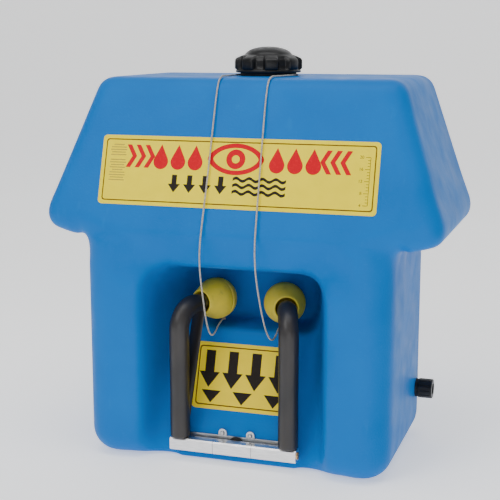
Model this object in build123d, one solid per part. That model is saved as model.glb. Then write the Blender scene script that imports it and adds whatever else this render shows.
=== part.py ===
from build123d import *
import os
from math import cos, sin, tan, radians, pi

# Portable gravity-fed eyewash station. Millimetres, +Z up, front towards -Y, +X to the right.
# The origin is on the standing surface, under the middle of the overall box.

# ---- driving dimensions: tank ----
DEPTH = 338.0            # roof, front to back
FRONT = -DEPTH / 2       # y of the foremost face; heights and depths below are measured from it
TANK_H = 575.0
WALL = 6.0
TOP_HALF = 233.4         # half width where the roof sides meet the top
EAVE_HALF = 308.0        # half width at the sharp eave, before rounding
EAVE_Z = 360.6
UNDER_Z = 338.0          # where the underside of the eaves meets the lower body
THROAT_FRONT, THROAT_HALF = 16.0, 196.0  # opening between the hollows of the roof and the lower body
UNDER_BACK_Z = 352.0
BODY_HALF = 236.0
BODY_DEPTH = 293.0
ROOF_FRONT_TOP = 71.0    # how far the roof front leans back by the top
ROOF_R = 28.0
BODY_R = 44.0
BASE_R = 38.0

# ---- front recess ----
LEAN_START = 31.3        # depth of the leaning back face at floor level
LEAN = 0.323             # how much deeper it gets for each mm of height
SHELF_Z = 194.0          # top of the leaning face, where the plug pocket begins
MOUTH_TOP = 300.0
POCKET_BACK = 150.0
MOUTH_HALF = 144.0       # half width of the recess at the front face
POCKET_HALF = 97.0       # half width at the back of the plug pocket
LEDGE_HALF = 84.0
LEDGE_FACE = 38.0        # depth of the upright face behind the hinge bar
LEDGE_LOW_Z, LEDGE_HIGH_Z = 42.0, 70.0

# ---- neck and cap ----
NECK_Y = FRONT + 194.0
NECK_R, NECK_BORE_R, NECK_TOP = 39.0, 32.0, 602.0
NECK_SEAT_R, THREAD_PITCH = 41.0, 6.0
BOSS_R, BOSS_TOP = 43.5, 578.4
GASKET_T = 1.6
FLANGE_R, FLANGE_T = 50.5, 4.6
CAP_R, LOBE_TIP_R, LOBES = 45.0, 52.5, 8
LOBE_TOP = 604.0
CAP_BORE_R = 40.4
CAP_TOP = 619.4
VENT_R = 8.0

# ---- hinge bar ----
BAR = 19.0               # square bar
BAR_Y, BAR_Z = FRONT + 22.0, 27.5
BLOCK_HALF = 30.0
BAR_HALF = 99.0
JOINT_GAP = 0.6
SHAFT_R, SHAFT_BORE_R, SHAFT_HALF = 5.5, 3.5, 76.0
RUNNING_FIT = 0.04
PLATE_T = 2.4
STUB_R, OUTLET_R = 5.0, 8.9
PLATE_HALF, PLATE_LOW_Z, PLATE_HIGH_Z = 74.0, 21.5, 41.0
SCREW_X, SCREW_Z = 22.0, 44.8

# ---- arms, spray heads and plugs ----
ARM_X = 85.0
PIPE_R, PIPE_BORE_R = 8.0, 6.5
FOAM_R = 15.0
HEAD_X, HEAD_Y, HEAD_Z = 55.0, FRONT + 104.0, 237.0
ELBOW_R = 33.0
PLUG_R, PLUG_WALL = 32.0, 6.0
COLLAR_END, COLLAR_R = 37.0, 20.5    # rim of the plug's collar, measured from the plug centre
SOCKET_R = 17.2
HEAD_R, HEAD_BASE, HEAD_TIP = 10.6, 52.0, 31.0    # spray head, its ends measured from the plug centre
FOAM_END, PIPE_END = 38.5, 44.0

# ---- drain ----
DRAIN_Y, DRAIN_Z = FRONT + 236.0, 82.0
DRAIN_R = 10.9
DRAIN_CAP_R, DRAIN_END = 15.5, 263.0

# ---- labels ----
LABEL_T = 0.6

# ---- tether cord: (x, depth, height) down the right-hand side; the left side mirrors it ----
CORD_D = 2.6
CORD_LOOP_R = BOSS_R + CORD_D / 2 + 0.3
CORD_LOOP_Z = TANK_H + CORD_D / 2 + 0.2
CORD_UPPER = [
    (CORD_LOOP_R, 194, CORD_LOOP_Z), (CORD_LOOP_R, 171, CORD_LOOP_Z), (42.4, 138, 576.6), (39.6, 106, 577.0),
    (38.2, 82, 577.4), (37.8, 64, 565.0), (38.8, 32.8, 460.0), (41.0, -1.2, 354.0), (41.4, -3.3, 340.0)]
CORD_LOWER = [
    (41.4, -3.3, 340.0), (41.8, -5.4, 326.0), (42.4, -2.0, 298.0), (43.2, 8.5, 268.0), (44.2, 20.0, 240.0),
    (45.5, 33.0, 214.0), (46.8, 47.5, 196.0), (47.6, 62.5, 187.5), (48.0, 78.5, 189.5), (48.0, 93.0, 198.0),
    (47.6, 106.0, 201.5), (47.4, 116.0, 202.6)]
EYE_KNOT_R = 3.0

PARTS = {}


def keep(name, shape):
    """Record a finished sub-part under its node name."""
    PARTS[name] = shape
    return shape


def back(y):
    """A depth measured from the foremost face, as a y coordinate."""
    return FRONT + y


def prism_x(points, half, grow=0.0):
    """Side outline (depth, height) extruded both ways along X."""
    face = Plane.YZ * Polygon(*[(back(y), z) for y, z in points], align=None)
    if grow:
        face = offset(face, amount=grow, kind=Kind.INTERSECTION)
    return extrude(face, amount=half, both=True)


def prism_y(points, y0, y1, grow=0.0):
    """Front outline (x, height) extruded from depth y0 to depth y1."""
    face = Plane.XZ.offset(-back(y1)) * Polygon(*points, align=None)
    if grow:
        face = offset(face, amount=grow, kind=Kind.INTERSECTION)
    return extrude(face, amount=y1 - y0)


def rod(radius, length):
    """Cylinder standing on its base centre."""
    return Cylinder(radius, length, align=(Align.CENTER, Align.CENTER, Align.MIN))


def rod_x(radius, x0, x1, y, z):
    """Cylinder along X."""
    return Pos(x0, y, z) * Rot(0, 90, 0) * rod(radius, x1 - x0)


def rod_y(radius, y0, y1, x, z):
    """Cylinder along Y."""
    return Pos(x, y0, z) * Rot(-90, 0, 0) * rod(radius, y1 - y0)


def rod_z(radius, z0, z1, x=0.0, y=0.0):
    """Cylinder along Z."""
    return Pos(x, y, z0) * rod(radius, z1 - z0)


def solid_of(shape):
    """The largest solid of a boolean result."""
    return max(shape.solids(), key=lambda s: s.volume)


# ---------------------------------------------------------------- tank
def roof_form(inset):
    """Leaning roof with its eaves, every outer edge rounded."""
    front = [(-BODY_HALF, UNDER_Z), (BODY_HALF, UNDER_Z), (EAVE_HALF, EAVE_Z),
             (TOP_HALF, TANK_H), (-TOP_HALF, TANK_H), (-EAVE_HALF, EAVE_Z)]
    side = [(0, UNDER_Z), (BODY_DEPTH, UNDER_Z), (DEPTH, UNDER_BACK_Z),
            (DEPTH, TANK_H), (ROOF_FRONT_TOP, TANK_H)]
    block = solid_of(prism_y(front, -20, DEPTH + 20, -inset) & prism_x(side, 400, -inset))
    outer = [e for e in block.edges() if e.center().Z > UNDER_Z + inset + 3]
    return fillet(outer, ROOF_R - inset)


def body_form(inset):
    """Lower body: a box with round corners and a round bottom edge."""
    low = inset
    height = UNDER_Z + 3 - 2 * inset
    block = Pos(0, back(inset), low) * Box(2 * (BODY_HALF - inset), BODY_DEPTH - 2 * inset, height,
                                           align=(Align.CENTER, Align.MIN, Align.MIN))
    upright = block.edges().filter_by(Axis.Z)
    block = fillet(upright, BODY_R - inset)
    return fillet(block.edges().group_by(Axis.Z)[0], BASE_R - inset)


def recess_form(grow):
    """The space taken out of the front: leaning face below, plug pocket above, hinge ledge left standing."""
    low = -60.0
    side = [(low, low), (LEAN_START + low * LEAN, low), (LEAN_START + SHELF_Z * LEAN, SHELF_Z),
            (POCKET_BACK, SHELF_Z + 6), (POCKET_BACK, MOUTH_TOP - 14), (low, MOUTH_TOP + 6)]
    slope = (MOUTH_HALF - POCKET_HALF) / POCKET_BACK
    far = MOUTH_HALF - slope * low
    plan = [(-far, back(low)), (far, back(low)),
            (POCKET_HALF, back(POCKET_BACK)), (-POCKET_HALF, back(POCKET_BACK))]
    face = Polygon(*plan, align=None)
    if grow:
        face = offset(face, amount=grow, kind=Kind.INTERSECTION)
    column = extrude(Pos(0, 0, -100) * face, amount=600)
    space = solid_of(prism_x(side, 220, grow) & column)
    space = fillet(space.edges().filter_by(lambda e: abs(e.center().X) > 60 and e.center().Y > back(-40)
                                           and e.center().Z > 0), 30 + grow)
    step = [(200, -90), (200, 120), (LEAN_START + LEDGE_HIGH_Z * LEAN, LEDGE_HIGH_Z),
            (LEDGE_FACE, LEDGE_LOW_Z), (LEDGE_FACE, -90)]
    ledge = prism_x(step, LEDGE_HALF - grow, -grow if grow else 0.0)
    return space - ledge


def tank_shell():
    """Hollow moulded tank with its neck, drain, outlet and screw holes."""
    outer = roof_form(0) + body_form(0) - recess_form(0)
    throat = Pos(0, back(THROAT_FRONT), UNDER_Z - 8) * Box(
        2 * THROAT_HALF, BODY_DEPTH - WALL - THROAT_FRONT, 20, align=(Align.CENTER, Align.MIN, Align.MIN))
    inner = roof_form(WALL) + body_form(WALL) + throat - recess_form(WALL)
    outer = solid_of(outer)
    inner = solid_of(inner)
    print("outer litres", round(outer.volume / 1e6, 1), "inside litres", round(inner.volume / 1e6, 1))
    shell = outer - inner
    shell -= rod_z(NECK_SEAT_R + 0.1, TANK_H - 2 * WALL, TANK_H + 1, 0, NECK_Y)
    shell -= rod_x(DRAIN_R + 0.1, BODY_HALF - 3 * WALL, BODY_HALF + 5, DRAIN_Y, DRAIN_Z)
    shell -= rod_y(OUTLET_R + 0.1, back(LEDGE_FACE - 2), back(LEDGE_FACE + 2 * WALL), 0, BAR_Z)
    for x in (-SCREW_X, SCREW_X):
        shell -= rod_y(2.0, back(LEDGE_FACE - 2), back(LEDGE_FACE + 16), x, SCREW_Z)
    keep("tank_shell", solid_of(shell))


def filler_neck():
    """Threaded neck welded into the top: seat in the wall, boss on it, neck with thread ridges."""
    neck = rod_z(NECK_SEAT_R, TANK_H - WALL - 1, TANK_H + 1, 0, NECK_Y)
    neck += rod_z(BOSS_R, TANK_H + 0.02, BOSS_TOP, 0, NECK_Y) + rod_z(NECK_R, TANK_H, NECK_TOP, 0, NECK_Y)
    for turn in range(3):
        low = BOSS_TOP + 7 + THREAD_PITCH * turn
        neck += rod_z(NECK_R + 1.0, low, low + 1.6, 0, NECK_Y)
    keep("filler_neck", solid_of(neck - rod_z(NECK_BORE_R, TANK_H - 2 * WALL, NECK_TOP + 1, 0, NECK_Y)))


# ---------------------------------------------------------------- cap
def fill_cap():
    """Hand cap: flange, lobed grip and a low dome, hollow over the neck."""
    low = BOSS_TOP + GASKET_T
    cap = rod_z(FLANGE_R, low, low + FLANGE_T, 0, NECK_Y) + rod_z(CAP_R, low, LOBE_TOP, 0, NECK_Y)
    lobe_r = 9.0
    for i in range(LOBES):
        angle = radians((i + 0.5) * 360 / LOBES)
        reach = LOBE_TIP_R - lobe_r
        cap += rod_z(lobe_r, low + FLANGE_T - 0.5, LOBE_TOP, reach * cos(angle), NECK_Y + reach * sin(angle))
    dome = [(0, LOBE_TOP - 3), (50, LOBE_TOP - 3), (50, LOBE_TOP), (41, 607.5), (32, 613), (22, 617.2),
            (11, 619.0), (0, CAP_TOP)]
    profile = Plane.XZ * Polygon(*dome, align=None)
    cap += Pos(0, NECK_Y, 0) * revolve(profile, Axis.Z)
    cap -= rod_z(CAP_BORE_R, low - 1, NECK_TOP + 2, 0, NECK_Y)
    cap -= rod_z(VENT_R + 0.05, NECK_TOP, NECK_TOP + 5.5, 0, NECK_Y)
    cap -= rod_z(1.5, NECK_TOP, CAP_TOP + 2, 0, NECK_Y)
    keep("fill_cap", solid_of(cap))
    gasket = rod_z(BOSS_R - 0.2, BOSS_TOP, low, 0, NECK_Y)
    keep("cap_gasket", gasket - rod_z(CAP_BORE_R, BOSS_TOP - 1, low + 1, 0, NECK_Y))
    vent = rod_z(VENT_R, NECK_TOP + 2, NECK_TOP + 5.4, 0, NECK_Y)
    keep("cap_vent_disc", vent - rod_z(1.0, NECK_TOP, NECK_TOP + 8, 0, NECK_Y))


# ---------------------------------------------------------------- hinge bar and outlet
def square_bar(x0, x1):
    """A length of square bar on the hinge axis, long edges chamfered."""
    bar = Pos((x0 + x1) / 2, BAR_Y, BAR_Z) * Box(x1 - x0, BAR, BAR)
    return chamfer(bar.edges().filter_by(Axis.X), 2.0)


def valve_block():
    """Fixed centre block: cross bore for the flow shaft, inlet bore at the back."""
    block = square_bar(-BLOCK_HALF, BLOCK_HALF)
    block -= rod_x(SHAFT_R + RUNNING_FIT, -BLOCK_HALF - 1, BLOCK_HALF + 1, BAR_Y, BAR_Z)
    block -= rod_y(STUB_R + 0.02, BAR_Y, BAR_Y + BAR, 0, BAR_Z)
    keep("valve_block", solid_of(block))


def flow_shaft():
    """Hollow shaft that turns in the block and carries water to both arms, with its seals."""
    shaft = rod_x(SHAFT_R, -SHAFT_HALF, SHAFT_HALF, BAR_Y, BAR_Z)
    shaft -= rod_x(SHAFT_BORE_R, -SHAFT_HALF - 1, SHAFT_HALF + 1, BAR_Y, BAR_Z)
    shaft -= rod_z(2.5, BAR_Z, BAR_Z + SHAFT_R + 1, 0, BAR_Y)
    seals = []
    for x in (-24, -12, 12, 24):
        groove = rod_x(SHAFT_R + 1, x - 1.1, x + 1.1, BAR_Y, BAR_Z) - rod_x(4.4, x - 2, x + 2, BAR_Y, BAR_Z)
        shaft -= groove
        seal = rod_x(SHAFT_R, x - 0.9, x + 0.9, BAR_Y, BAR_Z) - rod_x(4.45, x - 2, x + 2, BAR_Y, BAR_Z)
        seals.append(seal)
    keep("flow_shaft", solid_of(shaft))
    keep("shaft_seals", Compound(seals))


def swivel_end(side, name):
    """Square end piece: turns with the shaft, seats the arm pipe, closed by a plug screw."""
    x0, x1 = sorted((side * (BLOCK_HALF + JOINT_GAP), side * BAR_HALF))
    inner, outer = side * (BLOCK_HALF + JOINT_GAP), side * BAR_HALF
    end = square_bar(x0, x1)
    a, b = sorted((inner - side, side * SHAFT_HALF))
    end -= rod_x(SHAFT_R + 0.01, a, b, BAR_Y, BAR_Z)
    a, b = sorted((side * SHAFT_HALF, outer + side))
    end -= rod_x(4.5, a, b, BAR_Y, BAR_Z)
    end -= rod_z(PIPE_R + 0.02, BAR_Z + 3, BAR_Z + BAR, side * ARM_X, BAR_Y)
    end -= rod_z(4.0, BAR_Z, BAR_Z + 4, side * ARM_X, BAR_Y)
    keep(f"{name}_swivel", solid_of(end))
    a, b = sorted((outer - 5 * side, outer))
    screw = rod_x(4.45, a, b, BAR_Y, BAR_Z)
    a, b = sorted((outer, outer + 1.8 * side))
    screw += rod_x(5.4, a, b, BAR_Y, BAR_Z)
    screw -= Pos(outer + 1.8 * side, BAR_Y, BAR_Z) * Box(2.0, 1.4, 12)
    keep(f"{name}_end_screw", solid_of(screw))


def bracket():
    """Plate behind the bar with two ears, its screws, and the outlet fitting through the tank wall."""
    face = back(LEDGE_FACE)
    height = PLATE_HIGH_Z - PLATE_LOW_Z
    plate = Pos(0, face - PLATE_T / 2, PLATE_LOW_Z + height / 2) * Box(2 * PLATE_HALF, PLATE_T, height)
    for x in (-SCREW_X, SCREW_X):
        plate += rod_y(6.5, face - PLATE_T, face, x, SCREW_Z)
        plate += Pos(x, face - PLATE_T / 2, PLATE_HIGH_Z) * Box(13, PLATE_T, 2 * (SCREW_Z - PLATE_HIGH_Z))
        plate -= rod_y(2.2, face - PLATE_T - 1, face + 1, x, SCREW_Z)
    plate -= rod_y(OUTLET_R + 0.1, face - PLATE_T - 1, face + 1, 0, BAR_Z)
    keep("bracket_plate", solid_of(plate))
    screws = []
    for x in (-SCREW_X, SCREW_X):
        shank = rod_y(1.9, face - PLATE_T, face + 13, x, SCREW_Z)
        head = Pos(x, face - PLATE_T, SCREW_Z) * Sphere(3.5)
        head &= Pos(x, face - PLATE_T - 1.4, SCREW_Z) * Box(8, 2.8, 8)
        screws.append(solid_of(head + shank))
    keep("bracket_screws", Compound(screws))


def outlet():
    """Outlet fitting from the tank into the back of the valve block, with seals, nut and strainer."""
    block_back = BAR_Y + BAR / 2
    plate_front = back(LEDGE_FACE) - PLATE_T
    inside = back(LEDGE_FACE + WALL)
    fitting = rod_y(STUB_R, BAR_Y + SHAFT_R + 1, block_back, 0, BAR_Z)
    fitting += rod_y(OUTLET_R, block_back + 0.05, inside + 14, 0, BAR_Z)
    fitting += rod_y(STUB_R, block_back - 0.5, block_back + 1, 0, BAR_Z)
    fitting -= rod_y(3.4, BAR_Y, inside + 20, 0, BAR_Z)
    keep("outlet_fitting", solid_of(fitting))
    thread = rod_y(OUTLET_R + 0.02, BAR_Y, inside + 32, 0, BAR_Z)
    keep("outlet_spacer", rod_y(13.0, block_back + 0.05, plate_front, 0, BAR_Z) - thread)
    keep("outlet_seal", rod_y(12.6, inside, inside + 2, 0, BAR_Z) - thread)
    hexagon = Plane.XZ.offset(-(inside + 2)) * Pos(0, BAR_Z) * RegularPolygon(15.0, 6, major_radius=True)
    keep("outlet_nut", solid_of(extrude(hexagon, amount=-7) - thread))
    strainer = rod_y(11.5, inside + 9.2, inside + 34, 0, BAR_Z) - thread
    for row in range(3):
        for i in range(4):
            hole = Rot(0, 45 * i, 0) * Cylinder(1.3, 40)
            strainer -= Pos(0, inside + 17 + 5 * row, BAR_Z) * hole
    keep("outlet_strainer", solid_of(strainer))


# ---------------------------------------------------------------- arms
def head_frame(side):
    """Plane at the plug centre, its Z axis pointing from the arm into the plug."""
    away = Vector(HEAD_X - ARM_X, HEAD_Y - BAR_Y, 0).normalized()
    return Plane(origin=(side * HEAD_X, HEAD_Y, HEAD_Z), x_dir=(0, 0, 1), z_dir=(side * away.X, away.Y, 0))


def arm_path(side, z0, short):
    """Centre line of an arm: up from the bar, round the elbow and on towards the plug, ending short of it."""
    frame = head_frame(side)
    end = frame.origin - frame.z_dir * short
    return FilletPolyline((side * ARM_X, BAR_Y, z0), (side * ARM_X, BAR_Y, HEAD_Z), end, radius=ELBOW_R)


def along(path, radius):
    """A round bar swept along a path."""
    return sweep(Plane(origin=path @ 0, z_dir=path % 0) * Circle(radius), path=path)


def disc(frame, radius, t0, t1):
    """Cylinder on the frame's Z axis between two stations."""
    return frame * Pos(0, 0, t0) * rod(radius, t1 - t0)


def arm(side, name):
    """Arm pipe, its foam sleeve, the spray head and the flow disc in it."""
    pipe_line = arm_path(side, BAR_Z + 3, PIPE_END)
    keep(f"{name}_arm_pipe", solid_of(along(pipe_line, PIPE_R) - along(pipe_line, PIPE_BORE_R)))
    foam_line = arm_path(side, BAR_Z + BAR / 2 + 0.4, FOAM_END)
    foam = along(foam_line, FOAM_R)
    foam = fillet(foam.edges().filter_by(GeomType.CIRCLE).sort_by(Axis.Z)[0], 4.0)
    frame = head_frame(side)
    foam -= along(arm_path(side, BAR_Z, PIPE_END), PIPE_R + 0.02)
    foam -= disc(frame, HEAD_R + 0.02, -HEAD_BASE, -HEAD_TIP)
    keep(f"{name}_foam_sleeve", solid_of(foam))
    head = disc(frame, HEAD_R, -HEAD_BASE, -HEAD_TIP)
    head -= disc(frame, PIPE_R + 0.02, -HEAD_BASE - 1, -PIPE_END)
    head -= disc(frame, PIPE_BORE_R, -PIPE_END - 1, -HEAD_TIP - 4)
    head -= disc(frame, 9.05, -HEAD_TIP - 5, -HEAD_TIP + 1)
    keep(f"{name}_spray_head", solid_of(head))
    flow = disc(frame, 9.0, -HEAD_TIP - 3, -HEAD_TIP - 1)
    for ring, count in ((3.0, 6), (6.2, 10)):
        for i in range(count):
            a = 2 * pi * i / count
            flow -= frame * Pos(ring * cos(a), ring * sin(a), -HEAD_TIP - 2) * Cylinder(0.8, 4)
    flow -= disc(frame, 0.8, -HEAD_TIP - 4, -HEAD_TIP)
    keep(f"{name}_flow_disc", solid_of(flow))


def ball_plug(side, name):
    """Hollow round plug that slips over the spray head, with a groove round its middle and an eye for the cord."""
    frame = head_frame(side)
    plug = frame * Sphere(PLUG_R) + disc(frame, COLLAR_R, -COLLAR_END, -20)
    plug -= frame * Sphere(PLUG_R - PLUG_WALL)
    plug -= disc(frame, SOCKET_R, -COLLAR_END - 1, 0)
    groove_at = 3.0
    groove_r = (PLUG_R ** 2 - groove_at ** 2) ** 0.5
    plug -= frame * (Pos(0, 0, groove_at) * Torus(groove_r, 1.1))
    drop = frame.z_dir * 0.62 - Vector(0, 0, 0.785)
    eye = Plane(origin=frame.origin, z_dir=drop, x_dir=(side, 0, 0))
    seat = disc(eye, 1.6, 28, PLUG_R + 2)
    plug -= seat
    keep(f"{name}_ball_plug", solid_of(plug))
    ring = eye * (Pos(0, 0, PLUG_R + 4.6) * (Rot(0, 90, 0) * Torus(3.6, 1.2)))
    stem = disc(eye, 1.55, 28.5, PLUG_R + 1.8)
    keep(f"{name}_plug_eye", solid_of(ring + stem))


# ---------------------------------------------------------------- drain
def drain():
    """Low side outlet: threaded fitting with seal and nut inside, closed by a screw cap."""
    fitting = rod_x(DRAIN_R, BODY_HALF - 20, 254, DRAIN_Y, DRAIN_Z)
    fitting += rod_x(14.5, BODY_HALF, BODY_HALF + 3, DRAIN_Y, DRAIN_Z)
    fitting -= rod_x(8.0, BODY_HALF - 21, 255, DRAIN_Y, DRAIN_Z)
    keep("drain_fitting", solid_of(fitting))
    inside = BODY_HALF - WALL
    seal = rod_x(12.8, inside - 2, inside, DRAIN_Y, DRAIN_Z)
    seal -= rod_x(DRAIN_R + 0.02, inside - 3, inside + 1, DRAIN_Y, DRAIN_Z)
    keep("drain_seal", seal)
    hexagon = Plane.YZ.offset(inside - 9) * Pos(DRAIN_Y, DRAIN_Z) * RegularPolygon(17.0, 6, major_radius=True)
    nut = extrude(hexagon, amount=7) - rod_x(DRAIN_R + 0.02, inside - 10, inside, DRAIN_Y, DRAIN_Z)
    keep("drain_nut", solid_of(nut))
    start = BODY_HALF + 3
    washer = rod_x(14.2, start, start + 1.2, DRAIN_Y, DRAIN_Z)
    washer -= rod_x(DRAIN_R + 0.5, start - 1, start + 2, DRAIN_Y, DRAIN_Z)
    keep("drain_cap_washer", washer)
    cap = rod_x(DRAIN_CAP_R, start + 1.2, DRAIN_END, DRAIN_Y, DRAIN_Z)
    cap = chamfer(cap.edges().filter_by(GeomType.CIRCLE), 1.0)
    cap -= rod_x(DRAIN_R + 0.4, start, 257, DRAIN_Y, DRAIN_Z)
    cap -= rod_x(9.0, DRAIN_END - 2, DRAIN_END + 1, DRAIN_Y, DRAIN_Z)
    for i in range(12):
        y = DRAIN_Y + DRAIN_CAP_R * cos(2 * pi * i / 12)
        z = DRAIN_Z + DRAIN_CAP_R * sin(2 * pi * i / 12)
        cap -= rod_x(1.0, start + 4, DRAIN_END - 3, y, z)
    keep("drain_cap", solid_of(cap))


# ---------------------------------------------------------------- labels
def label(name, width, height, depth, centre_z, slope, radius):
    """Thin sticker on a face that leans back by slope mm per mm of height."""
    upright = Vector(0, slope, 1).normalized()
    out = Vector(0, -1, slope).normalized()
    frame = Plane(origin=(0, back(depth), centre_z), x_dir=(1, 0, 0), z_dir=(out.X, out.Y, out.Z))
    sheet = extrude(frame * RectangleRounded(width, height, radius), amount=LABEL_T)
    keep(name, sheet)


def labels():
    slope = ROOF_FRONT_TOP / (TANK_H - UNDER_Z)
    middle = 440.0
    label("front_label", 422, 104, slope * (middle - UNDER_Z), middle, slope, 6)
    middle = 122.5
    label("pull_label", 160, 102, LEAN_START + LEAN * middle, middle, LEAN, 7)


# ---------------------------------------------------------------- tether
def cord(name, points):
    """Tube along straight runs joined by arcs as large as the runs allow."""
    pts = [Vector(x, back(y), z) for x, y, z in points]
    runs = [b - a for a, b in zip(pts, pts[1:])]
    radii = []
    for a, b in zip(runs, runs[1:]):
        half_turn = radians(a.get_angle(b)) / 2
        radii.append(0.45 * min(a.length, b.length) / tan(half_turn))
    line = FilletPolyline(*pts, radius=radii)
    tube = along(line, CORD_D / 2)
    print(name, "length", round(line.length, 1), "smallest radius", round(min(radii), 1),
          "volume ratio", round(tube.volume / (pi * CORD_D ** 2 / 4 * line.length), 4))
    return keep(name, tube)


def tether():
    """One cord tied round the neck boss; each end runs down the front and is knotted to the eye of a plug."""
    loop = along(CenterArc((0, NECK_Y, CORD_LOOP_Z), CORD_LOOP_R, 0, 180), CORD_D / 2)
    keep("tether_neck_loop", loop)
    knot = rod_x(2.3, -4.5, 4.5, NECK_Y + CORD_LOOP_R + 1.0, TANK_H + 2.4)
    knot = fillet(knot.edges().filter_by(GeomType.CIRCLE), 1.6)
    keep("tether_neck_knot", solid_of(knot - loop))
    for side, name in ((-1, "left"), (1, "right")):
        cord(f"{name}_tether_upper", [(side * x, y, z) for x, y, z in CORD_UPPER])
        lower = cord(f"{name}_tether_loop", [(side * x, y, z) for x, y, z in CORD_LOWER])
        x, y, z = CORD_LOWER[-1]
        knot = Pos(side * x, back(y), z) * Sphere(EYE_KNOT_R)
        keep(f"{name}_eye_knot", solid_of(knot - lower - PARTS[f"{name}_plug_eye"]))


tank_shell()
filler_neck()
fill_cap()
valve_block()
flow_shaft()
bracket()
outlet()
for side, name in ((-1, "left"), (1, "right")):
    swivel_end(side, name)
    arm(side, name)
    ball_plug(side, name)
drain()
labels()
tether()

if __name__ == "__main__":
    os.makedirs("parts", exist_ok=True)
    for name, shape in PARTS.items():
        export_step(shape, f"parts/{name}.step")
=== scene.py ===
from math import acos, atan2, cos, pi, radians, sin, sqrt

import bmesh
import bpy
import numpy as np
from mathutils import Matrix, Vector, noise


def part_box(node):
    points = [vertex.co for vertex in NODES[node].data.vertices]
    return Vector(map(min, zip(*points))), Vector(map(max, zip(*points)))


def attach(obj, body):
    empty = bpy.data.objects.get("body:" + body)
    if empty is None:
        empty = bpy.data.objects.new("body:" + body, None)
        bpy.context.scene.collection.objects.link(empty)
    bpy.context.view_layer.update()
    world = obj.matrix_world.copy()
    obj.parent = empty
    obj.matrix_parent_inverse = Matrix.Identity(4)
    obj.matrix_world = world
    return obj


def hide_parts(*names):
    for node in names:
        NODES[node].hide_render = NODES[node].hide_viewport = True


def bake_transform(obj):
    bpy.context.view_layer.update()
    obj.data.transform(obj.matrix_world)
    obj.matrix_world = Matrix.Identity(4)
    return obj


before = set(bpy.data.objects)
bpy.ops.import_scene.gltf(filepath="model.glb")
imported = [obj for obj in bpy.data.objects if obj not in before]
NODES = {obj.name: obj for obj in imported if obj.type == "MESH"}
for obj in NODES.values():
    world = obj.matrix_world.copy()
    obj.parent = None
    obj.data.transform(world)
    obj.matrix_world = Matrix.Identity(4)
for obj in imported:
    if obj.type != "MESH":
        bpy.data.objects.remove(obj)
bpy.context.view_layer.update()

# All lengths are in metres. "Depth" is measured back from the tank's foremost face.
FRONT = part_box("tank_shell")[0].y
TANK_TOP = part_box("tank_shell")[1].z
NECK_DEPTH = 0.194                   # middle of the filler neck
SIDES = ((-1, "left"), (1, "right"))


def place(x, depth, z):
    """A point in the row frame from its depth behind the tank's foremost face."""
    return Vector((x, FRONT + depth, z))


# ------------------------------------------------------------------ camera
CAMERA_X, CAMERA_DEPTH, CAMERA_Z = 0.527, -1.510, 0.632
CAMERA_YAW, CAMERA_PITCH = 18.104, 10.562
CAMERA_LENS = 81.82


def add_camera():
    data = bpy.data.cameras.new("camera")
    data.lens = CAMERA_LENS
    data.sensor_width = 36.0
    camera = bpy.data.objects.new("camera", data)
    camera.location = place(CAMERA_X, CAMERA_DEPTH, CAMERA_Z)
    camera.rotation_euler = (radians(90 - CAMERA_PITCH), 0, radians(CAMERA_YAW))
    bpy.context.collection.objects.link(camera)
    bpy.context.scene.camera = camera


# ------------------------------------------------------------------ helpers
def smoothstep(value, low, high):
    """0 up to low, 1 from high on, and a smooth rise between."""
    t = np.clip((value - low) / (high - low), 0, 1)
    return t * t * (3 - 2 * t)


def link_piece(name, mesh):
    piece = bpy.data.objects.new(name, mesh)
    bpy.context.collection.objects.link(piece)
    return piece


def shade_smooth(mesh):
    mesh.polygons.foreach_set("use_smooth", [True] * len(mesh.polygons))


def add_mesh(name, verts, faces):
    """A new smooth-shaded mesh object from lists of points and faces."""
    mesh = bpy.data.meshes.new(name)
    mesh.from_pydata([tuple(v) for v in verts], [], [tuple(int(i) for i in f) for f in faces])
    mesh.validate()
    shade_smooth(mesh)
    return link_piece(name, mesh)


def finish_piece(piece, body, material, replaced=()):
    """Give a new piece its body, material slot, material and the CAD nodes it stands for."""
    piece.data.materials.clear()
    piece.data.materials.append(material)
    if body:
        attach(piece, body)
    if replaced:
        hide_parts(*replaced)
    return piece


def even_points(points, step):
    """Points spaced evenly along a line of close points."""
    points = np.asarray(points, float)
    along = np.concatenate([[0], np.cumsum(np.linalg.norm(np.diff(points, axis=0), axis=1))])
    count = max(int(round(along[-1] / step)), 2) + 1
    wanted = np.linspace(0, along[-1], count)
    return np.stack([np.interp(wanted, along, points[:, k]) for k in range(3)], axis=1)


def line_length(points):
    """Length along a line of close points."""
    return float(np.linalg.norm(np.diff(np.asarray(points), axis=0), axis=1).sum())


def turning_frames(points):
    """Two cross directions at each point of a line, carried along it without twist."""
    points = np.asarray(points, float)
    tangents = np.gradient(points, axis=0)
    tangents /= np.linalg.norm(tangents, axis=1)[:, None]
    start = np.array([1.0, 0, 0]) if abs(tangents[0][0]) < 0.8 else np.array([0, 0, 1.0])
    across = np.cross(tangents[0], start)
    across /= np.linalg.norm(across)
    firsts, seconds = [], []
    for tangent in tangents:
        across = across - tangent * across.dot(tangent)
        across /= np.linalg.norm(across)
        firsts.append(across)
        seconds.append(np.cross(tangent, across))
    return np.array(firsts), np.array(seconds)


def ring_faces(rings, sides, closed=False):
    """Quads between neighbouring rings of points, and from the last ring to the first if closed."""
    faces = []
    for i in range(rings if closed else rings - 1):
        n = (i + 1) % rings
        for j in range(sides):
            k = (j + 1) % sides
            faces.append((i * sides + j, i * sides + k, n * sides + k, n * sides + j))
    return faces


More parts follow.
